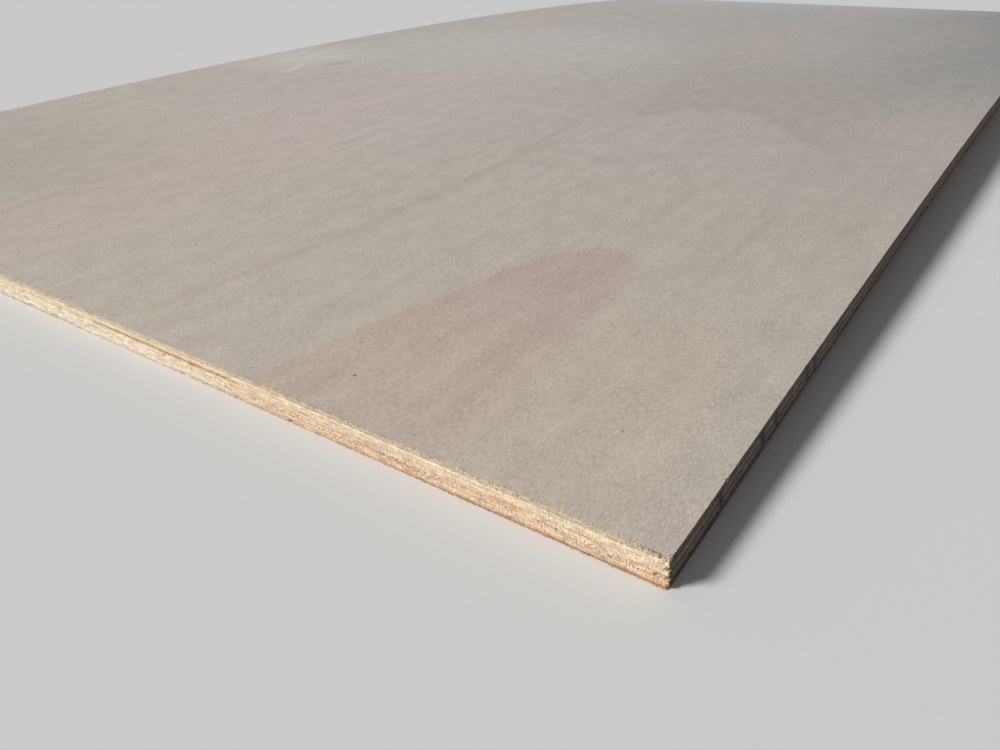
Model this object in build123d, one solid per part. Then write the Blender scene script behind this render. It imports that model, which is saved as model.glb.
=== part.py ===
from build123d import *
import math
import os

# A seven-ply plywood sheet, bowed along its length with the hump up.
# Millimetres: X across the width, Y along the length from the near end to the far end, +Z up.
# The origin is the middle of the footprint, at the height of the lower edges of the two
# short ends, which the sheet stands on.

# The sheet
sheet_width = 600.0
sheet_length = 1200.0       # along the curve of the middle layer
bow_radius = 12000.0        # of the middle layer, so that the hump rises 15 mm

# The veneers, the same above and below the core: 10 mm in all
outer_veneer_thickness = 1.4
crossband_thickness = 1.4
longband_thickness = 1.5
core_thickness = 1.4

# The gap in the near end, where a strip of the upper longband is missing and its
# neighbours have been pressed towards each other
gap_from_corner = 148.0
gap_length = 84.0
gap_height = 0.7
gap_depth = 4.0

# The broken near right corner: how much of the width each veneer has lost there. The
# break reaches further along the sheet where the grain runs that way.
face_break = 0.4
upper_crossband_break = 0.7
upper_longband_break = 1.2
core_break = 0.4
lower_longband_break = 1.5
lower_crossband_break = 0.3
back_break = 0.5
break_length_with_grain = 2.8
break_length_across_grain = 0.7
ragged_share = 0.35         # how far the break's inner point stands off its two ends

# Room that a cut takes beyond the surface it starts from
cut_overrun = 1.0

# The lay-up, from the top down: name, thickness, and the break's width and length. The
# grain of the face, the longbands and the back runs along the sheet, and the others' across.
lay_up = [
    ("face_veneer", outer_veneer_thickness, face_break, break_length_with_grain),
    ("upper_crossband", crossband_thickness, upper_crossband_break, break_length_across_grain),
    ("upper_longband", longband_thickness, upper_longband_break, break_length_with_grain),
    ("core_veneer", core_thickness, core_break, break_length_across_grain),
    ("lower_longband", longband_thickness, lower_longband_break, break_length_with_grain),
    ("lower_crossband", crossband_thickness, lower_crossband_break, break_length_across_grain),
    ("back_veneer", outer_veneer_thickness, back_break, break_length_with_grain),
]

# The bend: all the veneers are bent about one axis along X, far below the sheet
sheet_thickness = sum(thickness for name, thickness, width, length in lay_up)
top_radius = bow_radius + sheet_thickness / 2
underside_radius = bow_radius - sheet_thickness / 2
half_turn = sheet_length / bow_radius / 2
bend_centre = (0, -underside_radius * math.cos(half_turn))
half_width = sheet_width / 2
near_end = -sheet_length / 2
far_end = sheet_length / 2


# A layer of the bowed sheet. Its ends are cut square to the sheet, at two distances along
# it from the middle, and its sides are flat.
def bent_layer(outer_radius, thickness, start, end, left, right):
    first_angle = 90 - math.degrees(end / bow_radius)
    turn = math.degrees((end - start) / bow_radius)
    with BuildPart() as layer:
        with BuildSketch(Plane.YZ.offset(left)):
            with BuildLine():
                outer = CenterArc(bend_centre, outer_radius, first_angle, turn)
                inner = CenterArc(bend_centre, outer_radius - thickness, first_angle, turn)
                Line(outer @ 0, inner @ 0)
                Line(outer @ 1, inner @ 1)
            make_face()
        extrude(amount=right - left)
    return layer.part


# The wood that is missing from one veneer at its near right corner. It has a ragged line
# in the veneer and stands upright through the whole height of the sheet.
def broken_wood(outer_radius, width, length):
    corner_y = -outer_radius * math.sin(half_turn)
    outside_x = half_width + cut_overrun
    outside_y = corner_y - cut_overrun
    ragged_point = (half_width - width * ragged_share, corner_y + length * ragged_share)
    height = top_radius + bend_centre[1]
    with BuildPart() as wood:
        with BuildSketch():
            with BuildLine():
                Polyline(
                    (outside_x, outside_y),
                    (outside_x, corner_y + length),
                    (half_width, corner_y + length),
                    ragged_point,
                    (half_width - width, corner_y),
                    (half_width - width, outside_y),
                    close=True,
                )
            make_face()
        extrude(amount=height)
    return wood.part


# The gap, a slot into the near end halfway through the thickness of the upper longband
def longband_gap(longband_outer_radius):
    right = half_width - gap_from_corner
    return bent_layer(
        longband_outer_radius - (longband_thickness - gap_height) / 2,
        gap_height,
        near_end - cut_overrun,
        near_end + gap_depth,
        right - gap_length,
        right,
    )


# Each veneer lies on the one below it, glued face to face
def make_veneers():
    veneers = {}
    outer_radius = top_radius
    for name, thickness, break_width, break_length in lay_up:
        veneer = bent_layer(outer_radius, thickness, near_end, far_end, -half_width, half_width)
        veneer -= broken_wood(outer_radius, break_width, break_length)
        if name == "upper_longband":
            veneer -= longband_gap(outer_radius)
        veneers[name] = veneer
        outer_radius -= thickness
    return veneers


os.makedirs("parts", exist_ok=True)
for name, veneer in make_veneers().items():
    export_step(veneer, f"parts/{name}.step")
    box = veneer.bounding_box()
    print(name, "volume", round(veneer.volume), "mm3, box", box.min, box.max)
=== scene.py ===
import math

import bpy
import numpy as np
from mathutils import Matrix, Vector


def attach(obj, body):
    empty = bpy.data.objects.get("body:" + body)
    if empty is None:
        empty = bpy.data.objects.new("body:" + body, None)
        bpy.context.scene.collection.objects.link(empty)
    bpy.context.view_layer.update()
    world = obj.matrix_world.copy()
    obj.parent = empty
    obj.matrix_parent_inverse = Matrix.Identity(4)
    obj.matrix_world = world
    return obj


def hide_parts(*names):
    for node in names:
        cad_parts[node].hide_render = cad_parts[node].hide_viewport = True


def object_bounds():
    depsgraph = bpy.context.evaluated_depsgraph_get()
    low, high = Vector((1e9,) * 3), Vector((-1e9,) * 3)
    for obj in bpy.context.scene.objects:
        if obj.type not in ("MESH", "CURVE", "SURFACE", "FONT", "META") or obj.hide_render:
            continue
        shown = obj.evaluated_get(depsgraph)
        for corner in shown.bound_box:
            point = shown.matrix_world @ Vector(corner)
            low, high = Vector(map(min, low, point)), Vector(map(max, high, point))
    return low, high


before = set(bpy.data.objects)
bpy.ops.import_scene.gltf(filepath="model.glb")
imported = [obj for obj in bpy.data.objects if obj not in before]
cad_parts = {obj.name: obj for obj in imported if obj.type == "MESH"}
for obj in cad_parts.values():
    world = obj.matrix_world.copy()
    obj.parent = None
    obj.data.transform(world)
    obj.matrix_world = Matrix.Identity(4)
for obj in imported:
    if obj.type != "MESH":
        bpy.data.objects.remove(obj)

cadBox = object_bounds()
mm = 0.001
print("frame loaded")

# The sheet, in the frame of the CAD nodes: X across it, Y along it, +Z up. Every ply is
# first laid out flat, as x across, s along and z down from the top face, and then bent.
sheet = {
    "halfWidth": cadBox[1][0],
    "halfLength": cadBox[1][1],
    "bowRadius": 12000 * mm,      # of the middle of the thickness
}

# From the top down, in millimetres. "along" says that the grain runs along the sheet, and
# "broken" is what the near right corner has lost, across and along the sheet. "mottle" is how
# uneven the cuts are, and "shape" gives the inputs of the Geometry Nodes that differ. The
# tones are those of the near end by the broken corner and further left, of the right side,
# and of pores. The right side's tones are soiled wood with painted shade in them, as that
# side is away from the light, and they are darkest in the lower plies.
plies = {
    "face_veneer": {
        "thick": 1.4, "along": True, "broken": (0.4, 2.8), "slot": "face_veneer", "mottle": 0.8,
        "shape": {"Arris Wear": 0.35 * mm, "Arris Share": 4.0, "Longest": 0.8 * mm, "Fringe Density": 9.0},
        "near": (209, 190, 162), "left": (213, 199, 171), "side": (124, 106, 97), "pore": (150, 116, 82),
    },
    "upper_crossband": {
        "thick": 1.4, "along": False, "broken": (0.7, 0.7), "slot": "crossband", "mottle": 1.1,
        "near": (232, 214, 182), "left": (231, 213, 182), "side": (106, 92, 90), "pore": (190, 150, 110),
    },
    "upper_longband": {
        "thick": 1.5, "along": True, "broken": (1.2, 2.8), "slot": "longband", "mottle": 1.0,
        "rows": (0, 0.12, 0.25, 0.27, 0.5, 0.73, 0.75, 0.88, 1),
        "shape": {"Hollow Shade": 3.4 / mm},
        "near": (232, 213, 184), "left": (226, 208, 179), "side": (138, 126, 121), "pore": (170, 128, 92),
    },
    "core_veneer": {
        "thick": 1.4, "along": False, "broken": (0.4, 0.7), "slot": "crossband", "mottle": 1.3,
        "near": (221, 196, 167), "left": (232, 221, 197), "side": (102, 91, 91), "pore": (186, 130, 96),
    },
    "lower_longband": {
        "thick": 1.5, "along": True, "broken": (1.5, 2.8), "slot": "longband", "mottle": 1.3,
        "near": (233, 207, 177), "left": (232, 223, 200), "side": (132, 122, 119), "pore": (140, 88, 62),
    },
    "lower_crossband": {
        "thick": 1.4, "along": False, "broken": (0.3, 0.7), "slot": "crossband", "mottle": 1.4,
        "near": (222, 197, 165), "left": (234, 221, 199), "side": (96, 86, 88), "pore": (180, 122, 88),
    },
    "back_veneer": {
        "thick": 1.4, "along": True, "broken": (0.5, 2.8), "slot": "back_veneer", "mottle": 1.5,
        "shape": {"Arris Wear": 0.35 * mm, "Arris Share": 4.0, "Longest": 0.8 * mm, "Frayed Row": 1.0},
        "near": (213, 183, 152), "left": (224, 208, 186), "side": (88, 76, 78), "pore": (128, 82, 60),
    },
}
sheetThickness = sum(ply["thick"] for ply in plies.values()) * mm
topRadius = sheet["bowRadius"] + sheetThickness / 2
undersideRadius = sheet["bowRadius"] - sheetThickness / 2
halfTurn = math.asin(sheet["halfLength"] / topRadius)
sheet["halfArc"] = halfTurn * sheet["bowRadius"]
bendCentre = -undersideRadius * math.cos(halfTurn)


# Node trees, for shaders and for geometry

# A socket that Python's arithmetic works on: every operator adds one Math node
class Wire:
    def __init__(self, board, socket):
        self.board = board
        self.socket = socket

    def math(self, operation, *values):
        return self.board.node("ShaderNodeMath", {"operation": operation}, dict(enumerate(values)))

    def __add__(self, other):
        return self.math("ADD", self, other)

    def __radd__(self, other):
        return self.math("ADD", other, self)

    def __sub__(self, other):
        return self.math("SUBTRACT", self, other)

    def __rsub__(self, other):
        return self.math("SUBTRACT", other, self)

    def __mul__(self, other):
        return self.math("MULTIPLY", self, other)

    def __truediv__(self, other):
        return self.math("DIVIDE", self, other)

    def __pow__(self, other):
        return self.math("POWER", self, other)

    def __abs__(self):
        return self.math("ABSOLUTE", self)

    # 0 below low, 1 above high, and smooth between them. With low above high it is turned round.
    def step(self, low, high):
        sockets = {"Value": self, "From Min": low, "From Max": high}
        return self.board.node("ShaderNodeMapRange", {"interpolation_type": "SMOOTHSTEP"}, sockets)

    # 1 within half a width of the middle, falling to 0 over the soft rim
    def within(self, middle, half, soft):
        return 1 - abs(self - middle).step(half, half + soft)

    def above(self, low):
        return self.math("MAXIMUM", self, low)

    def below(self, high):
        return self.math("MINIMUM", self, high)

    def root(self):
        return self.math("SQRT", self)


# One node tree
class Board:
    def __init__(self, tree):
        self.tree = tree

    # A list goes into a socket that takes several links
    def feed(self, value, slot):
        if isinstance(value, list):
            for part in value:
                self.feed(part, slot)
        elif isinstance(value, Wire):
            self.tree.links.new(value.socket, slot)
        elif slot.type == "RGBA":
            slot.default_value = (*value, 1.0)
        else:
            slot.default_value = value

    def node(self, kind, settings, sockets, output=0):
        made = self.tree.nodes.new(kind)
        for name, value in settings.items():
            setattr(made, name, value)
        for name, value in sockets.items():
            self.feed(value, made.inputs[name])
        return Wire(self, made.outputs[output])

    def split(self, vector):
        parts = self.node("ShaderNodeSeparateXYZ", {}, {0: vector})
        return [Wire(self, socket) for socket in parts.socket.node.outputs]

    def join(self, x, y, z):
        return self.node("ShaderNodeCombineXYZ", {}, {0: x, 1: y, 2: z})

    # Noise from 0 to 1, with as many lumps to a millimetre as each scale says
    def noise(self, place, scales, seed, detail=3.0, rough=0.65):
        vector = self.join(*(part * scale + seed for part, scale in zip(place, scales)))
        sockets = {"Vector": vector, "Scale": 1.0, "Detail": detail, "Roughness": rough}
        return self.node("ShaderNodeTexNoise", {}, sockets)

    def mix(self, share, first, second):
        return self.node("ShaderNodeMix", {"data_type": "RGBA"}, {0: share, 6: first, 7: second}, 2)

    # A vector, or a colour, made longer or shorter
    def scale(self, vector, factor):
        sockets = {"Vector": vector, "Scale": factor}
        return self.node("ShaderNodeVectorMath", {"operation": "SCALE"}, sockets)

    def total(self, first, second):
        return self.node("ShaderNodeVectorMath", {"operation": "ADD"}, {0: first, 1: second})


# Colours are written as the eye reads them, 0 to 255
def tone(red, green, blue):
    return tuple(((c / 255 + 0.055) / 1.055) ** 2.4 for c in (red, green, blue))


# Flat plies

outline = {
    "segments": (2048, 1024, 1024, 512),      # near end, right side, far end, left side
    "middle": (32, 64, 32, 64),
    "middleInset": 100.0,        # stands for all that is further in than the rings
    "insets": (0, 1.0, 2.2, 4.5, 9, 18, 36),  # of the rings, each with half the points of the last
    "finerNearCorner": 2.2,      # how much faster the right side's points spread out
    "brokenSegments": (10, 16),  # near end, right side
    "brokenInner": 0.35,         # how far the break's inner point stands off its two ends
    "brokenFade": 6.0,
    "rows": (0, 0.12, 0.37, 0.63, 0.88, 1),
}


# The loop of points at one inset from the ply's outline, as four sides
def loopPoints(counts, inset, broken):
    right = sheet["halfWidth"] / mm - inset
    far = sheet["halfArc"] / mm - inset
    fade = max(0.0, 1 - inset / outline["brokenFade"])
    across, along = (size * fade for size in broken)
    inner = outline["brokenInner"]
    ragged = (right - across * inner, along * inner - far)
    nearBreak = 1 - outline["brokenSegments"][0] / outline["segments"][0]
    rightBreak = outline["brokenSegments"][1] / outline["segments"][1]
    t = [np.arange(count) / count for count in counts]
    spread = outline["finerNearCorner"]
    beyond = np.clip((t[1] - rightBreak) / (1 - rightBreak), 0, 1)
    graded = np.expm1(spread * beyond) / math.expm1(spread)
    rightS = np.where(
        t[1] < rightBreak,
        np.interp(t[1], (0, rightBreak), (ragged[1], along - far)),
        along - far + graded * (2 * far - along),
    )
    return [
        (
            np.interp(t[0], (0, nearBreak, 1), (-right, right - across, ragged[0])),
            np.interp(t[0], (0, nearBreak, 1), (-far, -far, ragged[1])),
        ),
        (np.interp(t[1], (0, rightBreak), (ragged[0], right)), rightS),
        (right - 2 * right * t[2], np.full(counts[2], far)),
        (np.full(counts[3], -right), far - 2 * far * t[3]),
    ]


# Which way is out, at each point of a loop. At a corner it is between its two sides' ways.
def loopOutward(counts):
    ways = np.array([(0, -1), (1, 0), (0, 1), (-1, 0)], float)
    out = np.concatenate([np.repeat(ways[i][None], counts[i], 0) for i in range(4)])
    starts = np.cumsum((0, *counts[:3]))
    for side, start in enumerate(starts):
        out[start] = ways[side] + ways[side - 1]
    return out / np.linalg.norm(out, axis=1, keepdims=True)


def sideRanges(counts):
    starts = np.cumsum((0, *counts))
    total = starts[4]
    return [np.arange(starts[i], starts[i + 1] + 1) % total for i in range(4)]


# What each face of a ply is, as its "cut" says
cutKinds = {"Top": 0, "Ends": 1, "Sides": 2, "Underside": 3}


# A closed slab with fine rings along its outline, which halve towards a coarse middle
def layFlatPly(node, depth, ply):
    rings = [outline["segments"]]
    for inset in outline["insets"][1:]:
        rings.append(tuple(max(count // 2, end) for count, end in zip(rings[-1], outline["middle"])))
    points, outward, insets, cuts, faces = [], [], [], [], []
    total = 0

    def addLoop(counts, inset, z):
        nonlocal total
        sides = loopPoints(counts, inset, ply["broken"])
        xs = np.concatenate([side[0] for side in sides])
        ss = np.concatenate([side[1] for side in sides])
        points.append(np.column_stack((xs, ss, np.full(len(xs), z))))
        outward.append(loopOutward(counts))
        insets.append(np.full(len(xs), float(inset)))
        total += len(xs)
        return np.arange(total - len(xs), total)

    def addFaces(corners, kind, up=True):
        faces.append(corners if up else corners[:, ::-1])
        cuts.append(np.full(len(corners), cutKinds[kind]))

    # The sawn walls, row by row
    rows = ply.get("rows", outline["rows"])
    walls = [addLoop(rings[0], 0, -depth - share * ply["thick"]) for share in rows]
    for upper, lower in zip(walls, walls[1:]):
        for side, picked in enumerate(sideRanges(rings[0])):
            a, b = upper[picked], lower[picked]
            kind = "Ends" if side % 2 == 0 else "Sides"
            addFaces(np.column_stack((a[:-1], b[:-1], b[1:], a[1:])), kind)

    # The broad faces, ring by ring
    for kind, outer, z, up in (
        ("Top", walls[0], -depth, True),
        ("Underside", walls[-1], -depth - ply["thick"], False),
    ):
        outerCounts = rings[0]
        for counts, inset in zip(rings[1:], outline["insets"][1:]):
            inner = addLoop(counts, inset, z)
            for side in range(4):
                a = outer[sideRanges(outerCounts)[side]]
                b = inner[sideRanges(counts)[side]]
                if outerCounts[side] == counts[side]:
                    addFaces(np.column_stack((a[:-1], a[1:], b[1:], b[:-1])), kind, up)
                else:
                    addFaces(np.column_stack((a[:-2:2], a[1:-1:2], b[:-1])), kind, up)
                    addFaces(np.column_stack((a[1:-1:2], b[1:], b[:-1])), kind, up)
                    addFaces(np.column_stack((a[1:-1:2], a[2::2], b[1:])), kind, up)
            outer, outerCounts = inner, counts
        # The middle is a plain grid
        across, along = outline["middle"][:2]
        near, right, far, left = (outer[picked] for picked in sideRanges(outerCounts))
        grid = np.zeros((along + 1, across + 1), int)
        grid[0], grid[:, -1], grid[-1, ::-1], grid[::-1, 0] = near, right, far, left
        rim = points[-1]
        share = (np.arange(1, across) / across)[:, None]
        for row in range(1, along):
            start, end = rim[left[along - row] - outer[0]], rim[right[row] - outer[0]]
            points.append(start + (end - start) * share)
            outward.append(np.zeros((across - 1, 2)))
            insets.append(np.full(across - 1, outline["middleInset"]))
            grid[row, 1:-1] = np.arange(total, total + across - 1)
            total += across - 1
        quads = np.column_stack([
            part.ravel() for part in (grid[:-1, :-1], grid[:-1, 1:], grid[1:, 1:], grid[1:, :-1])
        ])
        addFaces(quads, kind, up)

    co = np.concatenate(points)
    mesh = bpy.data.meshes.new(node + "_wood")
    mesh.vertices.add(len(co))
    mesh.vertices.foreach_set("co", (co * mm).astype(np.float32).ravel())
    sizes = np.concatenate([np.full(len(corners), corners.shape[1]) for corners in faces])
    mesh.loops.add(int(sizes.sum()))
    mesh.loops.foreach_set("vertex_index", np.concatenate([corners.ravel() for corners in faces]))
    mesh.polygons.add(len(sizes))
    mesh.polygons.foreach_set("loop_start", np.concatenate(((0,), np.cumsum(sizes)[:-1])))
    mesh.update(calc_edges=True)
    out = np.column_stack((np.concatenate(outward), np.zeros(len(co))))
    inset = np.concatenate(insets)
    row = (-co[:, 2] - depth) / ply["thick"]
    store(mesh, "cut", "FLOAT", "FACE", np.concatenate(cuts))
    store(mesh, "outward", "FLOAT_VECTOR", "POINT", out)
    store(mesh, "inset", "FLOAT", "POINT", inset)
    store(mesh, "row", "FLOAT", "POINT", row)
    store(mesh, "recess", "FLOAT", "POINT", recessOf(node, co, inset, row, out))
    return mesh


def store(mesh, name, kind, domain, values):
    made = mesh.attributes.new(name, kind, domain)
    field = "vector" if kind == "FLOAT_VECTOR" else "value"
    made.data.foreach_set(field, values.astype(np.float32).ravel())


# Damage to the edges, in millimetres. A nick stands on the near end at an x, or on the
# right side at a distance from the near right corner.
damage = {
    "facing": 0.9,                # how squarely a wall faces the damage that it takes
    "gap": {
        "from": 68, "to": 152, "taper": 18, "deep": 3.5, "deepRight": 1.7,
        "rows": (0.26, 0.74), "round": 0.7,
    },
    "nickRound": 0.6,
    "nickReach": 1.8,             # how far in from the edge the broad faces are drawn along
    "cornerReach": (0.5, 8.0),    # the corner's own wear is whole up to here, and gone past here
    # Nicks: ply, side, place along it, half width, depth, first and last row
    "nicks": (
        ("back_veneer", "near", 174, 1.0, 1.1, (0.25, 1)),
        ("face_veneer", "right", 32.5, 0.5, 0.35, (0, 0.5)),
        ("face_veneer", "near", 293.2, 0.3, 0.35, (0, 0.4)),
        ("face_veneer", "near", 295.6, 0.3, 0.6, (0, 0.7)),
        ("face_veneer", "near", 297.4, 0.3, 0.9, (0, 1)),
        ("upper_crossband", "near", 298.3, 0.5, 0.6, (0, 1)),
        ("lower_longband", "near", 296.7, 0.6, 1.1, (0.2, 1)),
    ),
}


def recessOf(node, co, inset, row, outward):
    recess = np.zeros(len(co))
    x, along = co[:, 0], co[:, 1] + sheet["halfArc"] / mm
    gap = damage["gap"]
    if node == "upper_longband":
        ends = np.clip(np.minimum(x - gap["from"], gap["to"] - x) / gap["taper"], 0, 1)
        inGap = (inset == 0) & (outward[:, 1] < -damage["facing"])
        inGap = inGap & (row > gap["rows"][0]) & (row < gap["rows"][1])
        deep = np.interp(x, (gap["from"], gap["to"]), (gap["deep"], gap["deepRight"]))
        recess = np.where(inGap, deep * ends ** gap["round"], recess)
    for ply, side, at, halfWidth, depth, (first, last) in damage["nicks"]:
        if ply != node:
            continue
        where, facing = (x, -outward[:, 1]) if side == "near" else (along, outward[:, 0])
        inside = (facing > damage["facing"]) & (row >= first) & (row <= last)
        closeness = np.clip(1 - np.abs(where - at) / halfWidth, 0, 1)
        deep = depth * closeness ** damage["nickRound"]
        deep = deep * np.clip(1 - inset / damage["nickReach"], 0, 1)
        recess = np.maximum(recess, np.where(inside, deep, 0))
    return recess * mm


# Geometry Nodes: what the saw left on the edges, the bend and the torn fibres

def newShapeTree(name, sizes):
    tree = bpy.data.node_groups.new(name, "GeometryNodeTree")
    tree.interface.new_socket("Geometry", in_out="INPUT", socket_type="NodeSocketGeometry")
    tree.interface.new_socket("Geometry", in_out="OUTPUT", socket_type="NodeSocketGeometry")
    board = Board(tree)
    for label, value in sizes.items():
        kind = "NodeSocketInt" if isinstance(value, int) else "NodeSocketFloat"
        socket = tree.interface.new_socket(label, in_out="INPUT", socket_type=kind)
        socket.default_value = value
    for label in cutKinds:
        tree.interface.new_socket(label, in_out="INPUT", socket_type="NodeSocketMaterial")
    entry = tree.nodes.new("NodeGroupInput")
    outlet = tree.nodes.new("NodeGroupOutput")
    inputs = {socket.name: Wire(board, socket) for socket in entry.outputs if socket.name}
    return board, inputs, outlet.inputs[0]


def named(board, name, kind="FLOAT"):
    return board.node("GeometryNodeInputNamedAttribute", {"data_type": kind}, {"Name": name})


def position(board):
    return board.node("GeometryNodeInputPosition", {}, {})


def isKind(board, kind):
    cut = named(board, "cut")
    return cut.math("COMPARE", cut, cutKinds[kind], 0.1)


# From flat to bent: a point's depth below the top face is kept, and its s becomes an angle
def bend(board, geometry, inputs):
    x, s, z = board.split(position(board))
    radius = z + inputs["Top Radius"]
    turn = s / inputs["Bow Radius"]
    place = board.join(
        x, radius * turn.math("SINE", turn), radius * turn.math("COSINE", turn) + inputs["Centre Height"]
    )
    return board.node("GeometryNodeSetPosition", {}, {"Geometry": geometry, "Position": place})


# 1 at the broken corner, and 0 from some millimetres off it
def nearCorner(board, x, s):
    right, near = sheet["halfWidth"] / mm, -sheet["halfArc"] / mm
    return 1 - ((x - right) ** 2 + (s - near) ** 2).root().step(*damage["cornerReach"])


# Scales are lumps to a millimetre, and the ranges are of noise from 0 to 1
sawn = {
    "fibreAcross": 1.6,
    "fibreAlong": 0.05,
    "fibreDown": 1.7,
    "teeth": (0.55, 0.55, 0.05),
    "ragged": (1.5, 1.5, 0.4),
    "worn": (0.42, 0.70),
    "torn": (0.44, 0.62),
    "arrisBand": (0.80, 1.0),     # of the way from a ply's middle to its arris
    "sideWear": 0.2,              # of what the ends have: the saw leaves the long sides crisper
    "reach": 1.6,                 # mm, how far in from the edge the broad faces are drawn along
    "sharp": 0.9,                 # radians, between faces that are shaded apart
}


def roughenWalls(board, geometry, inputs):
    x, s, z = flat = [part * (1 / mm) for part in board.split(position(board))]
    # Fibres are long one way and short the other
    along = inputs["Grain Along"]
    short, long = sawn["fibreAcross"], sawn["fibreAlong"]
    vector = board.join(
        x * (along * (short - long) + long) + inputs["Seed"],
        s * (short - along * (short - long)),
        z * sawn["fibreDown"],
    )
    sockets = {"Vector": vector, "Scale": 1.0, "Detail": 3.0, "Roughness": 0.65}
    fibres = board.node("ShaderNodeTexNoise", {}, sockets)
    sawTeeth = board.noise(flat, sawn["teeth"], seed=0.0, detail=1.0, rough=0.5)
    ragged = board.noise(flat, sawn["ragged"], seed=37.0)
    atArris = (abs(named(board, "row") - 0.5) * 2).step(*sawn["arrisBand"])
    outward = named(board, "outward", "FLOAT_VECTOR")
    onEnd = abs(board.split(outward)[1])
    wear = ragged.step(*sawn["worn"]) * inputs["Arris Wear"] * atArris
    wear = wear * (onEnd * (1 - sawn["sideWear"]) + sawn["sideWear"])
    torn = ragged.step(*sawn["torn"]) * nearCorner(board, x, s) * inputs["Corner Wear"]
    reach = (1 - named(board, "inset") / sawn["reach"]).above(0.0)
    push = (
        (fibres - 0.5) * inputs["Roughness"] + (sawTeeth - 0.5) * inputs["Saw Marks"] - wear - torn
    ) * reach - named(board, "recess")
    offset = board.scale(outward, push)
    return board.node("GeometryNodeSetPosition", {}, {"Geometry": geometry, "Offset": offset})


# Torn fibres on the walls
tornFibres = {
    "frayedHeight": 0.14,     # of a ply's thickness, from its frayed arris
    "moreAtCorner": 2.0,
    "lean": (0.02, 0.25),     # out from the wall
    "lyingScatter": 0.25,     # of those that lie along the edge, where it is 1 for the others
    "lyingThick": 0.7,
}

# Those that stand on the near end's top arris, by their x, in millimetres
fringe = {
    "dense": (286.0, 293.0),
    "sparse": (80.0, 200.0),
    "sparseShare": 0.22,
    "strip": (0.2, 0.9),      # from the end
    "toArris": 0.7,           # how much of the way to the arris they are moved
    "lean": 0.9,
    "paler": 0.8,
    "thicker": 0.5,
    "shorter": 0.15,
    "lessStretch": 0.6,
}


# They point straight out where the cut is across the grain, and lie close along the edge
# where it is with the grain
def growFibres(board, walls, inputs):
    def chance(low, high, offset):
        seed = inputs["Seed"].math("ADD", inputs["Seed"], offset)
        return board.node("FunctionNodeRandomValue", {}, {2: low, 3: high, "Seed": seed}, 1)

    row = named(board, "row")
    x, s, z = [part * (1 / mm) for part in board.split(named(board, "sheet", "FLOAT_VECTOR"))]
    onTop, onEnd, onSide = (isKind(board, kind) for kind in ("Top", "Ends", "Sides"))
    fromFrayed = abs(row - inputs["Frayed Row"])
    atArris = fromFrayed.math("LESS_THAN", fromFrayed, tornFibres["frayedHeight"]) * onEnd
    byArris = 1 + atArris * inputs["Arris Share"]
    byCorner = 1 + nearCorner(board, x, s) * tornFibres["moreAtCorner"]
    density = inputs["Fibre Density"] * byArris * byCorner
    # Some stand on the top face too, along its arris at the near end
    fromEnd = s + sheet["halfArc"] / mm
    fringed = x.step(*fringe["dense"]).above(x.step(*fringe["sparse"]) * fringe["sparseShare"])
    fringed = fringed * (1 - fromEnd.step(*fringe["strip"])) * inputs["Fringe Density"]
    density = density * (onEnd + onSide) + fringed * onTop
    points = board.node("GeometryNodeDistributePointsOnFaces", {}, {
        "Mesh": walls, "Selection": onEnd + onSide + onTop, "Density": density * (1 / mm / mm), "Seed": 3,
    })
    normal = Wire(board, points.socket.node.outputs["Normal"])
    outward = named(board, "outward", "FLOAT_VECTOR")
    toArris = board.scale(outward, fromEnd.below(1.0) * onTop * (fringe["toArris"] * mm))
    offset = board.total(board.scale(normal, inputs["Root Depth"] * -1), toArris)
    roots = board.node("GeometryNodeSetPosition", {}, {"Geometry": points, "Offset": offset})
    tinted = board.node("GeometryNodeStoreNamedAttribute", {}, {
        "Geometry": roots, "Name": "tint", "Value": chance(-1.0, 1.0, 1) + onTop * fringe["paler"],
    })
    along = inputs["Grain Along"]
    nx, ny, nz = board.split(normal)
    outX, outY = board.split(outward)[:2]
    facing = outX * (1 - along) + outY * along
    isEnd = onEnd * along + onSide * (1 - along)
    either = chance(-1.0, 1.0, 2)
    way = isEnd * facing.math("SIGN", facing) + (1 - isEnd) * either.math("SIGN", either)
    lean = chance(*tornFibres["lean"], 3) + onTop * fringe["lean"]
    scatter = inputs["Scatter"] * (isEnd * (1 - tornFibres["lyingScatter"]) + tornFibres["lyingScatter"])
    direction = board.join(
        (1 - along) * way + nx * lean + chance(-1.0, 1.0, 4) * scatter,
        along * way + ny * lean + chance(-1.0, 1.0, 5) * scatter,
        nz * lean + chance(-1.0, 1.0, 6) * scatter,
    )
    rotation = board.node("FunctionNodeAlignRotationToVector", {"axis": "Z"}, {"Vector": direction})
    splinter = board.node("GeometryNodeMeshCone", {}, {
        "Vertices": 4, "Radius Top": 0.0, "Radius Bottom": 0.5, "Depth": 1.0,
    })
    thicker = isEnd * (1 - tornFibres["lyingThick"]) + onTop * fringe["thicker"] + tornFibres["lyingThick"]
    thick = chance(inputs["Thinnest"], inputs["Thickest"], 7) * thicker
    stretch = 1 + (1 - isEnd - onTop * fringe["lessStretch"]) * inputs["Lying Stretch"]
    long = chance(inputs["Shortest"], inputs["Longest"], 8) * stretch * (1 - onTop * fringe["shorter"])
    size = board.join(thick, thick, long)
    placed = board.node("GeometryNodeInstanceOnPoints", {}, {
        "Points": tinted, "Instance": splinter, "Rotation": rotation, "Scale": size,
    })
    real = board.node("GeometryNodeRealizeInstances", {}, {"Geometry": placed})
    return board.node("GeometryNodeStoreNamedAttribute", {"domain": "FACE"}, {
        "Geometry": real, "Name": "cut", "Value": named(board, "cut").above(1.0),
    })


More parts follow.
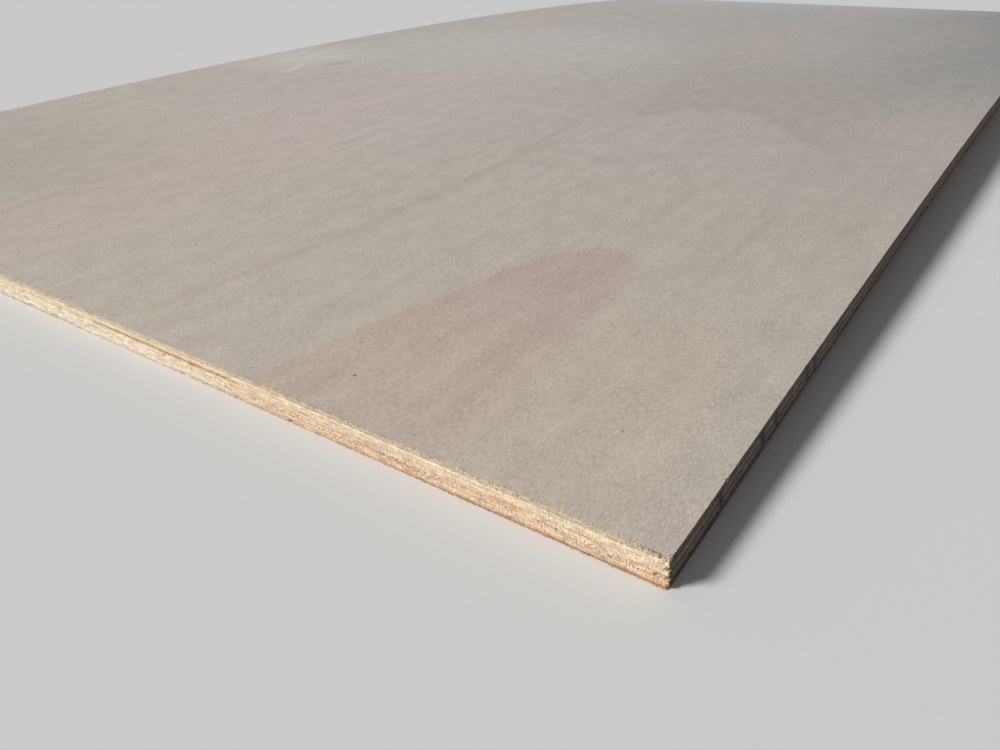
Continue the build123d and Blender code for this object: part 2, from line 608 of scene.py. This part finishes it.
plyTreeSizes = {
    "Bow Radius": sheet["bowRadius"],
    "Top Radius": topRadius,
    "Centre Height": bendCentre,
    "Grain Along": 1.0,
    "Saw Marks": 0.12 * mm,
    "Roughness": 0.4 * mm,
    "Arris Wear": 0.15 * mm,
    "Corner Wear": 0.35 * mm,
    "Hollow Shade": 0.0,         # how far in the gap darkens, for each metre
    "Fibre Density": 0.9,        # to the square millimetre
    "Fringe Density": 0.0,       # on the top face, along the near end
    "Frayed Row": 0.0,           # 0 at the ply's upper arris, 1 at its lower one
    "Arris Share": 0.0,
    "Shortest": 0.2 * mm,
    "Longest": 0.6 * mm,
    "Thinnest": 0.10 * mm,
    "Thickest": 0.26 * mm,
    "Lying Stretch": 1.8,
    "Root Depth": 0.08 * mm,
    "Scatter": 0.4,
    "Seed": 0,
}


def makePlyTree():
    board, inputs, outlet = newShapeTree("sawnAndBentPly", plyTreeSizes)
    start = board.node("GeometryNodeStoreNamedAttribute", {"data_type": "FLOAT_VECTOR"}, {
        "Geometry": inputs["Geometry"], "Name": "sheet", "Value": position(board),
    })
    # Painted shade in the gap: the tint is lowered by how far a point is recessed
    hollow = board.node("GeometryNodeStoreNamedAttribute", {}, {
        "Geometry": start, "Name": "tint", "Value": named(board, "recess") * inputs["Hollow Shade"] * -1,
    })
    bent = bend(board, roughenWalls(board, hollow, inputs), inputs)
    fibres = growFibres(board, bent, inputs)
    whole = board.node("GeometryNodeJoinGeometry", {}, {"Geometry": [bent, fibres]})
    # Nothing reaches below the floor that the ends stand on
    x, y, z = board.split(position(board))
    settled = board.node("GeometryNodeSetPosition", {}, {
        "Geometry": whole, "Position": board.join(x, y, z.above(0.0)),
    })
    turn = board.node("GeometryNodeInputMeshEdgeAngle", {}, {})
    sharp = turn.math("GREATER_THAN", turn, sawn["sharp"])
    shaded = board.node("GeometryNodeSetShadeSmooth", {"domain": "EDGE"}, {
        "Geometry": settled, "Selection": sharp, "Shade Smooth": False,
    })
    done = board.node("GeometryNodeRealizeInstances", {}, {"Geometry": shaded})
    for kind in cutKinds:
        done = board.node("GeometryNodeSetMaterial", {}, {
            "Geometry": done, "Selection": isKind(board, kind), "Material": inputs[kind],
        })
    board.feed(done, outlet)
    return board.tree


# Runs a tree on a piece, with its inputs by name, and keeps the result as a plain mesh
def applyTree(piece, tree, values):
    modifier = piece.modifiers.new("shape", "NODES")
    modifier.node_group = tree
    for item in tree.interface.items_tree:
        if item.in_out == "INPUT" and item.name in values:
            modifier[item.identifier] = values[item.name]
    bpy.context.view_layer.update()
    graph = bpy.context.evaluated_depsgraph_get()
    made = bpy.data.meshes.new_from_object(piece.evaluated_get(graph), depsgraph=graph)
    piece.modifiers.remove(modifier)
    old = piece.data
    made.name = old.name + "_shaped"
    piece.data = made
    bpy.data.meshes.remove(old)
    for name in ("cut", "outward", "inset", "row", "recess"):
        made.attributes.remove(made.attributes[name])


# Materials

# A wood shader on its own board, with the place on the flat sheet in millimetres
def newWood(name):
    material = bpy.data.materials.new(name)
    material.use_nodes = True
    material.node_tree.nodes.clear()
    board = Board(material.node_tree)
    place = board.node("ShaderNodeAttribute", {"attribute_name": "sheet"}, {}, "Vector")
    flat = [part * (1 / mm) for part in board.split(place)]
    shader = board.node("ShaderNodeBsdfPrincipled", {}, {"Specular IOR Level": 0.3})
    output = board.tree.nodes.new("ShaderNodeOutputMaterial")
    board.feed(shader, output.inputs["Surface"])
    return material, board, flat, shader.socket.node.inputs


def finishWood(board, inputs, colour, roughness, height, bumpDepth):
    board.feed(colour, inputs["Base Color"])
    board.feed(roughness, inputs["Roughness"])
    bump = board.node("ShaderNodeBump", {}, {"Strength": 1.0, "Distance": bumpDepth, "Height": height})
    board.feed(bump, inputs["Normal"])


faceLook = {
    "near": tone(182, 172, 160),
    "farLeft": tone(174, 173, 171),
    "farRight": tone(143, 143, 143),
    "farEnd": tone(182, 180, 184),
    "cool": tone(136, 139, 139),
    "nearRight": tone(184, 168, 150),
    "nearLeft": tone(160, 156, 148),
    "tongue": tone(182, 164, 152),
    "tongueTop": tone(175, 157, 149),
    "heart": tone(140, 126, 120),
    "rosy": tone(190, 170, 164),
    "lilac": tone(194, 180, 176),
    "vein": tone(140, 118, 108),
    "sheen": tone(214, 212, 208),
    "pore": tone(118, 102, 92),
    "fleck": tone(220, 213, 203),
    "pinhole": tone(84, 66, 52),
    "size": (600, 1200),          # of the sheet that the tones are laid out on
    # Washes fade in from the first to the second x, and so by y
    "washes": (
        # The cool wash at the far right goes with the painted fading of the sheen
        {"x": (130, 300), "y": (-260, 60), "tone": "cool", "share": 0.55},
        {"x": (260, 60), "y": (350, 600), "tone": "farEnd", "share": 0.5},
        {"x": (20, -210), "y": (-390, -540), "tone": "nearLeft", "share": 0.6},
    ),
    # Ovals reach so far across and along the sheet from their middle. The sheen oval is painted sheen.
    "ovals": (
        {"x": -110, "y": -60, "across": 190, "along": 200, "tone": "sheen", "share": 0.14},
        {"x": -50, "y": -330, "across": 130, "along": 170, "tone": "lilac", "share": 0.16},
    ),
    "glow": {"x": -255, "y": -190, "across": 90, "along": 95, "share": 0.34},
    "ripple": {"x": -245, "y": -262, "across": 30, "along": 46, "share": 0.35},
    "shade": {"x": -203, "y": -200, "across": 9, "along": 22, "share": 0.25},
    "tongueTip": (208, -452),     # of the pink figure that runs out at the near end
    "tongueHalf": 38,             # its half width where it does
    "archTip": (165, -215),
    "archSlope": 1.1,
    # Veins: x, middle and half length along the sheet, bow, width and share
    "veins": (
        (100, -425, 185, -18, 4.0, 0.15),
        (93, -190, 70, 4, 7.0, 0.06),
        (250, -430, 60, 2, 3.5, 0.16),
        (-78, -520, 75, 4, 6.0, 0.09),
        (-245, -380, 60, 8, 9.0, 0.12),
    ),
    # Pinholes: x, y, radius and share
    "pinholes": (
        (184.2, -580.5, 0.75, 0.95),
        (268.6, -563.0, 0.60, 0.60),
    ),
}


# The square of the distance from an oval's middle, which is 1 on its outline
def fromOval(x, y, oval):
    return ((x - oval["x"]) / oval["across"]) ** 2 + ((y - oval["y"]) / oval["along"]) ** 2


def makeFace():
    material, board, (x, y, z), inputs = newWood("sandedFace")
    look = faceLook
    flat = (x, y, z)
    # Broad tones: warm at the near end, cooler and darker towards the far right, partly the wood's own
    # tone and partly painted sheen that fades towards the far right
    width, length = look["size"]
    toFar = (y / length + 0.5).above(0.0) ** 0.8
    toRight = (x / width + 0.5) ** 2
    farTone = board.mix(toRight, look["farLeft"], look["farRight"])
    colour = board.mix(toFar, look["near"], farTone)
    broad = board.noise(flat, (0.008, 0.003, 0), seed=21.0, detail=2.0, rough=0.5)
    colour = board.mix(broad.step(0.45, 0.75) * 0.3, colour, look["rosy"])
    for wash in look["washes"]:
        share = x.step(*wash["x"]) * y.step(*wash["y"]) * wash["share"]
        colour = board.mix(share, colour, look[wash["tone"]])
    colour = board.mix(x.within(256, 12, 26) * y.step(-470, -540) * 0.4, colour, look["nearRight"])
    for oval in look["ovals"]:
        share = fromOval(x, y, oval).step(1.0, 0.0) * oval["share"]
        colour = board.mix(share, colour, look[oval["tone"]])
    # Slow wander, so that the figure's borders aren't drawn with a ruler
    wander = (board.noise(flat, (0.011, 0.004, 0), seed=5.0, rough=0.55) - 0.5) * 26
    ragged = (board.noise(flat, (0.42, 0.025, 0), seed=9.0) - 0.5) * 10
    # The figure that runs out at the near end: crisp on its left, soft and frayed on its right
    tipX, tipY = look["tongueTip"]
    below = (tipY - y + ragged * 2.5).above(0.0)
    down = below / (tipY + 600)
    half = down ** 0.36 * look["tongueHalf"]
    middle = tipX - down * 14 + wander * 0.2
    fromLeft = (x - middle + half + ragged * 0.6).step(-0.5, 2.5)
    fromRight = (middle + half - x + ragged * 1.4).step(-6.0, 8.0)
    tongue = fromLeft * fromRight * below.step(0.0, 8.0)
    inside = board.noise(flat, (0.10, 0.02, 0), seed=3.0, detail=4.0)
    pink = board.mix(down.step(0.1, 0.9), look["tongueTop"], look["tongue"])
    colour = board.mix(tongue * (inside * 1.6 + 0.05).above(0.5).below(1.0), colour, pink)
    # The darker heart figure beyond it, over an arch, with rings that follow the arch
    archX, archY = look["archTip"]
    side = x - archX + wander * 0.4
    spikes = (board.noise(flat, (0.16, 0.008, 0), seed=13.0, detail=4.0) - 0.5) * 60
    over = y - archY + ((side * side + 150).root() - 12) * look["archSlope"] + spikes
    spread = (x + (y + 240) * 0.18).step(92.0, 124.0) * (1 - x.step(220.0, 274.0))
    fade = 1 - (y + wander * 2).step(-150.0, 70.0)
    band = (1 - over.step(0.0, 50.0)) * (side.step(0.0, 50.0) * 0.05 + 0.03)
    colour = board.mix(over.step(-6.0, 10.0) * spread * (fade * 0.18 + band), colour, look["heart"])
    phase = (over + wander) * 0.15
    rings = phase.math("SINE", phase).step(0.0, 1.0) * over.within(60, 40, 60) * spread
    colour = board.mix(rings * 0.05, colour, look["heart"])
    # Veins: long, thin and faint
    for veinX, middleY, halfLength, bow, wide, share in look["veins"]:
        t = (y - middleY) / halfLength
        off = x - veinX - t * t * bow + ragged * 0.25
        colour = board.mix(off.within(0, 0.4, wide) * t.within(0, 0.6, 0.4) * share, colour, look["vein"])
    # A painted sheen on the left, with a small rippled patch in it: a pale crescent of the same painted
    # sheen, and a darker shade beside it
    glow = fromOval(x, y, look["glow"]).root().step(1.0, 0.0)
    rim = fromOval(x, y, look["ripple"]).root().within(1, 0.06, 0.12)
    crescent = rim * x.step(-238, -224) * y.step(-268, -242)
    shade = fromOval(x, y, look["shade"]).within(0, 0.2, 0.8)
    colour = board.mix(glow * look["glow"]["share"], colour, look["sheen"])
    colour = board.mix(crescent * look["ripple"]["share"], colour, look["sheen"])
    colour = board.mix(shade * look["shade"]["share"], colour, look["vein"])
    # Blotches, and streaks of four widths, long one way
    blotches = board.noise(flat, (0.10, 0.05, 0), seed=49.0, detail=4.0)
    bands = board.noise(flat, (0.05, 0.002, 0), seed=45.0, detail=2.0, rough=0.6)
    strips = board.noise(flat, (0.22, 0.012, 0), seed=41.0)
    streaks = board.noise(flat, (0.9, 0.15, 0), seed=42.0)
    fibre = board.noise(flat, (2.7, 0.46, 0), seed=2.0, rough=0.72)
    streaked = (blotches - 0.5) * 0.34 + (bands - 0.5) * 0.07 + (strips - 0.5) * 0.18
    streaked = streaked + (streaks - 0.5) * 0.24
    tint = board.node("ShaderNodeAttribute", {"attribute_name": "tint"}, {}, "Fac")
    colour = board.scale(colour, 1 + streaked + (fibre - 0.5) * 1.25 + tint * 0.35)
    # Open pores and the pale flecks between them
    pores = board.noise(flat, (3.2, 0.6, 0), seed=11.0, detail=2.0, rough=0.6)
    pore = pores.step(0.58, 0.74)
    colour = board.mix(pore * 0.22, colour, look["pore"])
    colour = board.mix((1 - pores).step(0.58, 0.74) * 0.26, colour, look["fleck"])
    for holeX, holeY, radius, share in look["pinholes"]:
        off = ((x - holeX) ** 2 + (y - holeY) ** 2).root()
        colour = board.mix(off.step(radius, 0.2) * share, colour, look["pinhole"])
    finishWood(board, inputs, colour, 0.72 + fibre * 0.2, fibre + streaks * 0.4 - pore * 0.4, 0.06 * mm)
    return material


# The sawn cuts. Scales are lumps to a millimetre: along the edge, and down it.
cutLook = {
    "orange": tone(224, 150, 98),
    "rose": tone(232, 196, 178),
    "straw": tone(226, 210, 156),
    "resin": tone(176, 112, 72),
    "lowArrisToneAndShade": tone(162, 102, 70),
    "chip": tone(222, 182, 130),
    # the warm brown of the painted shade deep in the gap
    "hollow": tone(138, 86, 50),
    "splinter": tone(240, 232, 218),
    # The splinter on the right side is pale wood with a painted highlight, as if the sun caught it; it is
    # not modelled
    "litSplinterAt": 33.4,             # the splinter on the right side, from the near right corner
    "ink": tone(24, 48, 98),
    "endGrain": {"ticks": (2.0, 0.7), "tickShare": 1.05, "poreShare": 0.70, "bump": 0.22},
    "longGrain": {"ticks": (1.1, 1.0), "tickShare": 0.95, "poreShare": 0.45, "bump": 0.16},
    # On the near end: how far across and down each is, half width, half height, tone and share
    "marks": (
        (111, 4.9, 2.0, 0.8, (190, 132, 104), 0.65),
        (44, 4.5, 2.6, 0.8, (168, 136, 104), 0.60),
        (255, 5.1, 8.0, 0.8, (220, 146, 98), 0.42),
        (217, 6.4, 17.0, 0.25, (160, 102, 72), 0.55),
        (207, 4.5, 6.0, 0.4, (196, 134, 100), 0.50),
        (112, 2.5, 42.0, 0.5, (232, 176, 118), 0.45),
        (80, 4.4, 9.0, 0.3, (232, 178, 128), 0.60),
        (92, 6.6, 5.0, 0.9, (236, 204, 190), 0.60),
        (71, 7.2, 6.0, 0.8, (232, 196, 186), 0.50),
    ),
    "hatch": {"scales": (2.6, 2.6, 0.28), "from": (90.0, 220.0), "share": 0.75},
    # The worst torn stretches of two plies: the middle, half width and soft rim of each
    "torn": {"left": (200, 28, 14), "corner": (289, 8, 5), "height": (-6.9, 0.7, 0.5)},
    "lowArrisToneAndShadeSpan": {"from": (190.0, 262.0), "down": 9.1},
    "chipped": {"from": (293.5, 296.5), "down": 7.4},
    "inked": (0.8, 8.4),          # from and to, down from the face
    "smudgeSlant": 0.5,           # how much further from the corner a smudge is for each mm down
    # Smudges: distance from the corner, width and share
    "smudges": (
        (28, 2.6, 0.85),
        (58, 3.0, 0.95),
        (69, 2.2, 0.80),
        (97, 3.0, 0.60),
        (105, 2.4, 0.70),
        (131, 3.5, 0.55),
    ),
}


# One ply's cut: across its fibres it has open pores and torn ends, and along them streaks
def makeCut(name, ply, kind, onEnds):
    material, board, (x, y, z), inputs = newWood(name + "_" + kind)
    flat = (x, y, z)
    look, grain = cutLook, cutLook[kind]
    patch = board.noise(flat, (0.03, 0.03, 0.3), seed=7.0, rough=0.55)
    near, left, side, pores = (tone(*ply[key]) for key in ("near", "left", "side", "pore"))
    pale = tone(*[min(255, c * 1.1) for c in ply["left"]])
    # The right side is soiled, and its colour also holds painted shade, as it is the side away from the
    # light
    soiledAndShaded = 0.0 if onEnds else x.step(-1.0, 1.0)
    freshAndLit = 1 - soiledAndShaded
    if onEnds:
        colour = board.mix((x + (patch - 0.5) * 120).step(90.0, 190.0), left, near)
    else:
        # The right side takes its darker tone, soiled wood with painted shade, darker in blotches
        colour = board.mix(soiledAndShaded, left, board.scale(side, 0.66 + patch * 0.32))
    # Clouds of several hues, wider than they are high
    clouds = board.noise(flat, (0.20, 0.20, 0.6), seed=91.0)
    hues = board.noise(flat, (0.24, 0.24, 0.8), seed=29.0, detail=2.0, rough=0.6)
    others = board.noise(flat, (0.36, 0.36, 1.0), seed=53.0, detail=2.0, rough=0.6)
    # Fewer hues show on the right side, under its painted shade
    hueShare = freshAndLit * 0.7 + 0.3
    colour = board.mix(hues.step(0.54, 0.72) * 0.28 * ply["mottle"] * hueShare, colour, look["orange"])
    colour = board.mix(others.step(0.54, 0.70) * 0.32 * hueShare, colour, look["rose"])
    colour = board.mix((1 - others).step(0.54, 0.70) * 0.34 * hueShare, colour, look["straw"])
    # What the saw tore: ticks across the edge, and streaks where the grain runs with it
    alongEdge, down = grain["ticks"]
    ticks = board.noise(flat, (alongEdge, alongEdge, down), seed=3.0, detail=4.0, rough=0.75)
    if kind == "endGrain":
        streak = board.noise(flat, (0.5, 0.5, 1.6), seed=4.0, detail=2.0, rough=0.6)
    else:
        runX, runY = (1.4, 0.05) if ply["along"] else (0.08, 1.4)
        streak = board.noise(flat, (runX, runY, 1.8), seed=4.0)
    tint = board.node("ShaderNodeAttribute", {"attribute_name": "tint"}, {}, "Fac")
    layers = board.noise(flat, (0.035, 0.035, 2.4), seed=77.0, rough=0.6)
    mottle = (ticks - 0.5) * grain["tickShare"] + (streak - 0.5) * 0.5 + (clouds - 0.5)
    mottle = mottle + (layers - 0.5) * 0.7
    # Upright ticks, deeper towards the broken corner
    hatch = 0.0
    if onEnds:
        upright = board.noise(flat, look["hatch"]["scales"], seed=33.0)
        hatch = (upright - 0.5) * x.step(*look["hatch"]["from"])
    mottle = mottle + hatch * look["hatch"]["share"]
    colour = board.scale(colour, 1 + mottle * ply["mottle"] + tint.above(-1.0) * 0.22)
    openings = board.noise(flat, (2.2, 2.2, 0.9), seed=17.0, detail=2.0, rough=0.6)
    pore = openings.step(0.60, 0.72)
    if name in ("lower_longband", "lower_crossband") and onEnds:
        across = x.within(*look["torn"]["left"]).above(x.within(*look["torn"]["corner"]))
        torn = across * z.within(*look["torn"]["height"])
        pore = (openings + torn * (0.04 + (clouds - 0.5) * 0.5)).step(0.58, 0.68)
    poreShare = grain["poreShare"] * ply["mottle"] * 0.75
    # Pores are darker still on the right side, as painted shade
    colour = board.mix(pore * poreShare, colour, board.scale(pores, 1 - soiledAndShaded * 0.55))
    colour = board.mix((1 - openings).step(0.56, 0.72) * (freshAndLit * 0.55 + 0.06), colour, pale)
    # Resin in the joints above and below, which comes and goes
    top, bottom = -ply["depth"], -ply["depth"] - ply["thick"]
    joint = 1 - (top - z).below(z - bottom).step(0.03, 0.20)
    colour = board.mix(joint * hues.step(0.36, 0.60) * 0.5 * hueShare, colour, look["resin"])
    colour = board.mix(tint.step(0.3, 1.0) * freshAndLit * 0.6, colour, look["splinter"])
    # The bottom arris towards the right: orange-brown wood, made darker with painted shade under the edge
    if name == "back_veneer" and onEnds:
        lowArrisToneAndShade = x.step(*look["lowArrisToneAndShadeSpan"]["from"]) * 0.5 + 0.15
        low = (-look["lowArrisToneAndShadeSpan"]["down"] - z + (ticks - 0.5) * 2).step(-0.3, 0.5)
        colour = board.mix(lowArrisToneAndShade * low, colour, look["lowArrisToneAndShade"])
    if onEnds:
        onNear = 1 - y.step(-1.0, 1.0)
        for markX, depth, halfWidth, halfHeight, hue, share in look["marks"]:
            across = (x - markX + (clouds - 0.5) * 6) / halfWidth + (ticks - 0.5) * 1.6
            down = (z + depth + (hues - 0.5) * 1.2) / halfHeight + (ticks - 0.5) * 1.6
            inMark = (1 - (across * across + down * down).step(0.0, 1.4)) * (0.5 + layers)
            colour = board.mix((inMark * onNear * share).below(1.0), colour, tone(*hue))
        # The chip that the bottom corner ends in
        chip = x.step(*look["chipped"]["from"]) * (-look["chipped"]["down"] - z).step(0.0, 0.8)
        colour = board.mix(chip * 0.4, colour, look["chip"])
    else:
        distance = y + sheet["halfArc"] / mm
        ink = 0.0
        for at, wide, share in look["smudges"]:
            off = distance - at + (z + 1.0) * look["smudgeSlant"] + (clouds - 0.5) * 4
            ink = off.within(0, 0.2, wide) * share + ink
        upper, lower = look["inked"]
        inkHeight = (-upper - z).step(0.0, 1.2) * (z + lower).step(0.0, 2.0) * soiledAndShaded
        colour = board.mix((ink * inkHeight * (0.6 + ticks * 0.6)).below(1.0), colour, look["ink"])
        # A painted highlight: the splinter, pale on the shaded wall
        litSplinter = (distance + (ticks - 0.5) * 0.8).within(look["litSplinterAt"], 0.1, 0.25)
        litSplinter = litSplinter * (z + 2.2).step(0.0, 1.0) * soiledAndShaded
        colour = board.mix(litSplinter * 0.75, colour, look["splinter"])
    # Painted shade deep in the gap, where the tint says a point is recessed
    gapShadeShare = (-1.0 - tint).step(0.0, 1.0) * (clouds * 1.3 + 0.3)
    colour = board.mix(gapShadeShare.below(0.95), colour, look["hollow"])
    height = ticks + hatch + streak * 0.4 - pore
    finishWood(board, inputs, colour, 0.78 + patch * 0.18, height, grain["bump"] * mm)
    return material


# The underside: pinker and rougher than the face
backLook = {
    "pale": tone(190, 160, 136),
    "warm": tone(174, 140, 118),
    "ring": tone(154, 118, 96),
    "pore": tone(104, 72, 56),
    "fleck": tone(220, 196, 172),
}


def makeBack():
    look = backLook
    material, board, (x, y, z), inputs = newWood("roughBack")
    flat = (x, y, z)
    broad = board.noise(flat, (0.008, 0.002, 0), seed=61.0, detail=2.0, rough=0.5)
    wander = (board.noise(flat, (0.010, 0.003, 0), seed=65.0, rough=0.55) - 0.5) * 40
    colour = board.mix(broad.step(0.3, 0.7), look["pale"], look["warm"])
    swell = x * 0.017 + wander * 0.04
    phase = (x + wander) * 0.22 + swell.math("SINE", swell) * 4
    rings = phase.math("SINE", phase).step(-0.2, 1.0) * (0.1 + broad * 0.4)
    colour = board.mix(rings, colour, look["ring"])
    strips = board.noise(flat, (0.25, 0.008, 0), seed=63.0)
    fibre = board.noise(flat, (1.6, 0.12, 0), seed=67.0, detail=4.0)
    colour = board.scale(colour, 1 + (strips - 0.5) * 0.4 + (fibre - 0.5) * 0.9)
    pores = board.noise(flat, (3.2, 0.4, 0), seed=71.0, detail=2.0, rough=0.6)
    pore = pores.step(0.58, 0.70)
    colour = board.mix(pore * 0.5, colour, look["pore"])
    colour = board.mix((1 - pores).step(0.60, 0.74) * 0.35, colour, look["fleck"])
    finishWood(board, inputs, colour, 0.76 + fibre * 0.2, fibre - pore, 0.14 * mm)
    return material


# The plies

def makePlies():
    tree = makePlyTree()
    face, back = makeFace(), makeBack()
    depth = 0.0
    for number, (name, ply) in enumerate(plies.items()):
        ply["depth"] = depth
        piece = bpy.data.objects.new(name + "_wood", layFlatPly(name, depth, ply))
        bpy.context.scene.collection.objects.link(piece)
        onEnds, onSides = ("endGrain", "longGrain") if ply["along"] else ("longGrain", "endGrain")
        ends = makeCut(name, ply, onEnds, True)
        applyTree(piece, tree, {
            "Grain Along": 1.0 if ply["along"] else 0.0,
            "Seed": number * 17,
            "Top": face if name == "face_veneer" else ends,
            "Ends": ends,
            "Sides": makeCut(name, ply, onSides, False),
            "Underside": back if name == "back_veneer" else ends,
            **ply.get("shape", {}),
        })
        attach(piece, "root")
        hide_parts(name)
        depth += ply["thick"]
        triangles = sum(len(polygon.vertices) - 2 for polygon in piece.data.polygons)
        print(name, "shaped:", triangles, "triangles")


makePlies()


# Floor, light and camera

stage = {
    "floorRadius": 90.0,
    "floorSides": 128,
    "floorTone": tone(206, 205, 203),
    "skyTone": tone(236, 236, 236),
    "lightTone": tone(255, 255, 255),
    "sunFrom": (-0.50, -0.58, 0.64),
    "sunStrength": 3.68,
    "sunSoftness": 16,        # degrees
    "worldStrength": 0.21,
}


def makeFloor():
    radius, sides = stage["floorRadius"], stage["floorSides"]
    turns = [math.tau * side / sides for side in range(sides)]
    mesh = bpy.data.meshes.new("floor")
    rim = [(radius * math.cos(turn), radius * math.sin(turn), 0) for turn in turns]
    mesh.from_pydata(rim, [], [tuple(range(sides))])
    floor = bpy.data.objects.new("floor", mesh)
    bpy.context.scene.collection.objects.link(floor)
    material = bpy.data.materials.new("paleFloor")
    material.use_nodes = True
    shader = material.node_tree.nodes["Principled BSDF"].inputs
    shader["Base Color"].default_value = (*stage["floorTone"], 1.0)
    shader["Roughness"].default_value = 0.9
    shader["Specular IOR Level"].default_value = 0.1
    mesh.materials.append(material)


def makeLight():
    lamp = bpy.data.lights.new("sun", "SUN")
    lamp.energy = stage["sunStrength"]
    lamp.angle = math.radians(stage["sunSoftness"])
    sun = bpy.data.objects.new("sun", lamp)
    sun.rotation_euler = Vector(stage["sunFrom"]).to_track_quat("Z", "Y").to_euler()
    bpy.context.scene.collection.objects.link(sun)
    world = bpy.data.worlds.new("studio")
    bpy.context.scene.world = world
    world.use_nodes = True
    board = Board(world.node_tree)
    board.tree.nodes.clear()
    light = board.node("ShaderNodeBackground", {}, {
        "Color": stage["lightTone"], "Strength": stage["worldStrength"],
    })
    seen = board.node("ShaderNodeBackground", {}, {"Color": stage["skyTone"], "Strength": 1.0})
    ray = board.node("ShaderNodeLightPath", {}, {}, "Is Camera Ray")
    both = board.node("ShaderNodeMixShader", {}, {0: ray, 1: light, 2: seen})
    output = board.tree.nodes.new("ShaderNodeOutputWorld")
    board.feed(both, output.inputs["Surface"])


view = {
    "place": (0.347112, -0.728700, 0.134797),
    "azimuth": 35.819,      # degrees from looking along +Y, towards -X
    "down": 30.089,
    "roll": -1.236,
    "lens": 28.6255,        # mm
    "filmWidth": 36,        # mm
    "nearest": 5 * mm,
}


def makeCamera():
    lens = bpy.data.cameras.new("camera")
    lens.lens = view["lens"]
    lens.sensor_width = view["filmWidth"]
    lens.clip_start = view["nearest"]
    camera = bpy.data.objects.new("camera", lens)
    turn = (
        Matrix.Rotation(math.radians(view["azimuth"]), 4, "Z")
        @ Matrix.Rotation(math.radians(90 - view["down"]), 4, "X")
        @ Matrix.Rotation(math.radians(view["roll"]), 4, "Z")
    )
    camera.matrix_world = Matrix.Translation(view["place"]) @ turn
    bpy.context.scene.collection.objects.link(camera)
    bpy.context.scene.camera = camera


makeFloor()
makeLight()
makeCamera()
bpy.context.scene.view_settings.view_transform = "Standard"
print("floor, light and camera placed")
